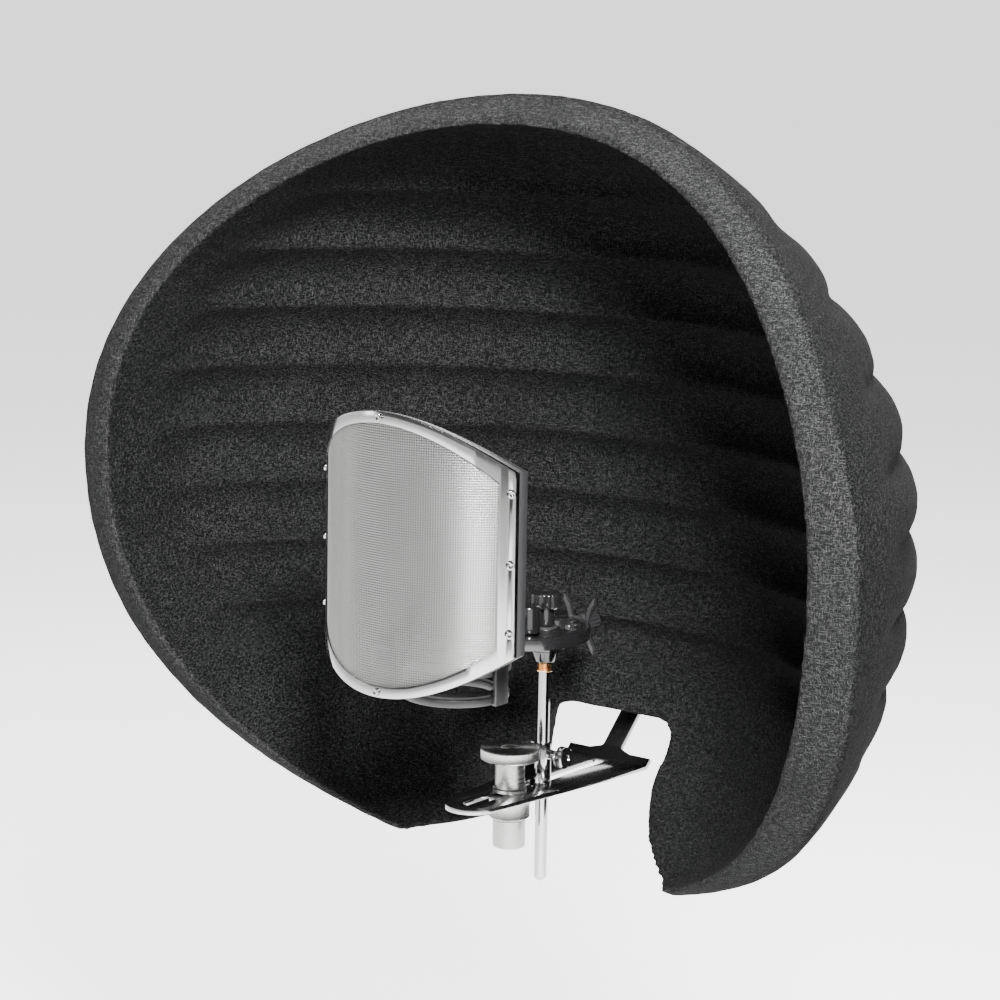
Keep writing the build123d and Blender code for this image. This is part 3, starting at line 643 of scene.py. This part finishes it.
def wire(path, sideways, radius, vertices, faces):
    """Adds one four-sided wire along a path of (point, outward normal)."""
    start = len(vertices)
    for (point, normal), side in zip(path, sideways):
        for across, out in ((1, 0), (0, 1), (-1, 0), (0, -1)):
            vertices.append(point + side * (radius * across) + normal * (radius * out))
    for ring in range(len(path) - 1):
        for i in range(4):
            j = (i + 1) % 4
            a = start + ring * 4
            faces.append((a + i, a + j, a + 4 + j, a + 4 + i))


def woven_screen(node, name, radius, woven):
    """Wires both ways over the curved screen; the woven one's pass over and under."""
    inset = SCREEN_INSET
    half_angle = asin((SCREEN_HALF - inset) / radius)
    axis_y = SCREEN_Y + SCREEN_R
    columns = int(half_angle * radius / WEAVE_PITCH)
    low, high = CREST_Z[0] + inset, CREST_Z[1] - inset
    rows = int((high - low) / WEAVE_PITCH)
    lift = WIRE_R * (WEAVE_LIFT if woven else 0.0)
    up = Vector((0, 0, 1))

    def spot(column, z, sign):
        angle = column * WEAVE_PITCH / radius
        normal, side = Vector((sin(angle), -cos(angle), 0.0)), Vector((cos(angle), sin(angle), 0.0))
        return Vector((0, axis_y, z)) + normal * (radius + lift * sign), normal, side

    vertices, faces = [], []
    for column in range(-columns, columns + 1):
        x = radius * sin(column * WEAVE_PITCH / radius)
        bottom, top = outline_z(x, inset)
        inside = [r for r in range(rows + 1) if bottom < low + r * WEAVE_PITCH < top]
        if not woven:
            inside = [inside[0], inside[-1]]
        spots = [spot(column, low + r * WEAVE_PITCH, 1 if (column + r) % 2 else -1) for r in inside]
        wire([s[:2] for s in spots], [s[2] for s in spots], WIRE_R, vertices, faces)
    for row in range(rows + 1):
        z = low + row * WEAVE_PITCH
        inside = []
        for column in range(-columns, columns + 1):
            bottom, top = outline_z(radius * sin(column * WEAVE_PITCH / radius), inset)
            if bottom < z < top:
                inside.append(column)
        if not woven:
            inside = inside[::ROW_STEP] + inside[-1:]
        spots = [spot(column, z, -1 if (column + row) % 2 else 1) for column in inside]
        wire([s[:2] for s in spots], [up] * len(spots), WIRE_R, vertices, faces)
    screen = new_object(name, vertices, faces)
    shade(screen)
    place(screen, node, "mesh")


# ---------- studio ----------

def area_light(name, place_at, target, size, energy):
    data = bpy.data.lights.new(name, "AREA")
    data.shape, data.size, data.size_y = "RECTANGLE", size[0], size[1]
    data.energy = energy
    lamp = bpy.data.objects.new(name, data)
    lamp.location = place_at
    lamp.rotation_euler = (Vector(target) - Vector(place_at)).to_track_quat("-Z", "Y").to_euler()
    bpy.context.scene.collection.objects.link(lamp)


def ramp_along(tree, direction, axis, ramp_values):
    """Brightness that changes smoothly with a direction's share along an axis."""
    along = tree.nodes.new("ShaderNodeVectorMath")
    along.operation = "DOT_PRODUCT"
    along.inputs[1].default_value = axis
    ramp = tree.nodes.new("ShaderNodeMapRange")
    ramp.interpolation_type = "SMOOTHSTEP"
    for socket, value in zip(RAMP_SOCKETS, ramp_values):
        ramp.inputs[socket].default_value = value
    tree.links.new(direction, along.inputs[0])
    tree.links.new(along.outputs["Value"], ramp.inputs["Value"])
    return ramp.outputs["Result"]


def surroundings():
    """Pale at the horizon behind the object, dimmer overhead and in front."""
    world = bpy.data.worlds.new("studio")
    world.use_nodes = True
    tree = world.node_tree
    background = tree.nodes["Background"]
    background.inputs["Color"].default_value = (1.0, 1.0, 1.0, 1.0)
    direction = tree.nodes.new("ShaderNodeTexCoord").outputs["Generated"]
    azimuth = radians(CAMERA_AZIMUTH)
    product = tree.nodes.new("ShaderNodeMath")
    product.operation = "MULTIPLY"
    ramps = (((0.0, 0.0, 1.0), HEIGHT_RAMP), ((-sin(azimuth), cos(azimuth), 0.0), DEPTH_RAMP))
    for socket, (axis, ramp_values) in zip(product.inputs, ramps):
        tree.links.new(ramp_along(tree, direction, axis, ramp_values), socket)
    tree.links.new(product.outputs["Value"], background.inputs["Strength"])
    bpy.context.scene.world = world


def pale_floor():
    reach, height = FLOOR_REACH / MM, FLOOR_Z / MM
    corners = [(x * reach, y * reach, height) for x, y in ((-1, -1), (1, -1), (1, 1), (-1, 1))]
    floor = new_object("floor", corners, [(0, 1, 2, 3)])
    pale = Nodes("pale_floor")
    pale.set(Base_Color=(FLOOR_GREY,) * 3, Roughness=1.0, Emission_Color=(1.0, 1.0, 1.0),
             Emission_Strength=FLOOR_GLOW)
    floor.data.materials.append(pale.material)


def studio():
    surroundings()
    for name, values in LIGHTS.items():
        area_light(name, *values)
    pale_floor()


def camera():
    data = bpy.data.cameras.new("camera")
    data.lens, data.sensor_width = LENS, SENSOR
    data.clip_end = CLIP_END
    view = bpy.data.objects.new("camera", data)
    bpy.context.scene.collection.objects.link(view)
    azimuth, pitch, roll = radians(CAMERA_AZIMUTH), radians(CAMERA_PITCH), radians(CAMERA_ROLL)
    back = Vector((sin(azimuth) * cos(pitch), -cos(azimuth) * cos(pitch), sin(pitch)))
    right = Vector((cos(azimuth), sin(azimuth), 0.0))
    up = back.cross(right)
    right, up = right * cos(roll) + up * sin(roll), up * cos(roll) - right * sin(roll)
    turn = Matrix((right, up, back)).transposed().to_4x4()
    view.matrix_world = Matrix.Translation(Vector(CAMERA_PLACE) * MM) @ turn
    bpy.context.scene.camera = view


# ---------- the whole scene ----------

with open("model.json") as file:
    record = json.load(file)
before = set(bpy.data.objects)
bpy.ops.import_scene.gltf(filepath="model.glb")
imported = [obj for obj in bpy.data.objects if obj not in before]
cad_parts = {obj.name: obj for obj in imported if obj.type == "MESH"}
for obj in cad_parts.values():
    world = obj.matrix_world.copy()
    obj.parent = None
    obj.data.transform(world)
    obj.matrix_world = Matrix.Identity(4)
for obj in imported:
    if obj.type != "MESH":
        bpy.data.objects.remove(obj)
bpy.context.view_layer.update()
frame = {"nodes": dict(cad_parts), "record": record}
SLOT_OF = {part["node"]: part["material_slot"] for part in frame["record"]["subparts"]}
BODY_OF = {node: body for body, nodes in frame["record"]["behaviour"]["bodies"].items() for node in nodes}
MATERIALS = make_materials()
for node_name, node_object in frame["nodes"].items():
    node_object.data.materials.clear()
    node_object.data.materials.append(MATERIALS[SLOT_OF[node_name]])
    shade(node_object, CAD_SHARP)

felt_bowl()
lock_knob()
stand_socket()
thumb_screw()
knobs()
brass_thread()
for node_name, edge_width in EASED.items():
    eased(node_name, edge_width)
woven_screen("filter_front_mesh", "front_weave", FRONT_WEAVE_R, True)
woven_screen("filter_rear_mesh", "rear_weave", REAR_WEAVE_R, False)
studio()
camera()
